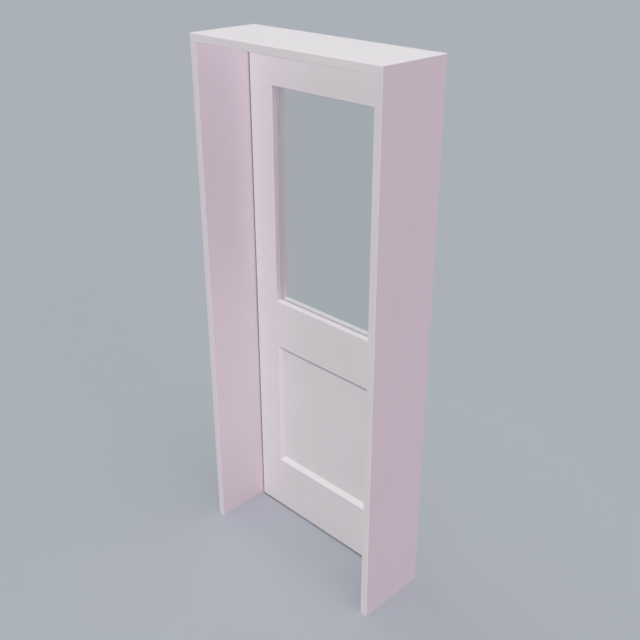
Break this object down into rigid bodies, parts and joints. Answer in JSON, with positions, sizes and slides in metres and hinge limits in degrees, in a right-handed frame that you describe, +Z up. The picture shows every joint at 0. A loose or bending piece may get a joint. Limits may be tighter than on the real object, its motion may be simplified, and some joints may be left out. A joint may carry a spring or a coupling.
{
  "type": "half-glazed door",
  "caption": "White timber door in a deep lining: glazed upper half, splayed recessed panel below, side-hung on butt hinges.",
  "frame": {"origin": "on the outer, wall side face of the hinge jamb, at mid depth of the lining and at floor level", "axes": "+X across the doorway from the hinge jamb to the lock jamb, +Y through the doorway to the side that the leaf opens to, +Z up"},
  "size_m": [0.9, 0.3145, 2.1],
  "materials": {
    "white_paint": "satin white paint",
    "clear_glass": "clear float",
    "satin_steel": "satin",
    "glazing_tape": "matt"
  },
  "bodies": {
    "lining": {"head": "white_paint", "hinge_bottom_jamb_plate": "satin_steel", "hinge_bottom_pin": "satin_steel", "hinge_jamb": "white_paint", "hinge_middle_jamb_plate": "satin_steel", "hinge_middle_pin": "satin_steel", "hinge_top_jamb_plate": "satin_steel", "hinge_top_pin": "satin_steel", "lock_jamb": "white_paint"},
    "leaf": {"bottom_rail": "white_paint", "glass_pane": "clear_glass", "glazing_bead_bottom": "white_paint", "glazing_bead_hinge_side": "white_paint", "glazing_bead_lock_side": "white_paint", "glazing_bead_top": "white_paint", "glazing_seal_back": "glazing_tape", "glazing_seal_front": "glazing_tape", "hinge_bottom_leaf_plate": "satin_steel", "hinge_middle_leaf_plate": "satin_steel", "hinge_stile": "white_paint", "hinge_top_leaf_plate": "satin_steel", "lock_stile": "white_paint", "lower_panel": "white_paint", "middle_rail": "white_paint", "panel_mould_back_bottom": "white_paint", "panel_mould_back_hinge_side": "white_paint", "panel_mould_back_lock_side": "white_paint", "panel_mould_back_top": "white_paint", "panel_mould_front_bottom": "white_paint", "panel_mould_front_hinge_side": "white_paint", "panel_mould_front_lock_side": "white_paint", "panel_mould_front_top": "white_paint", "top_rail": "white_paint"}
  },
  "joints": [
    {"name": "leaf_swing", "type": "hinge", "parent": "lining", "child": "leaf", "pos_m": [0.0325, 0.1575, 1.0725], "axis": [0, 0, 1], "range_deg": [0, 180]}
  ]
}
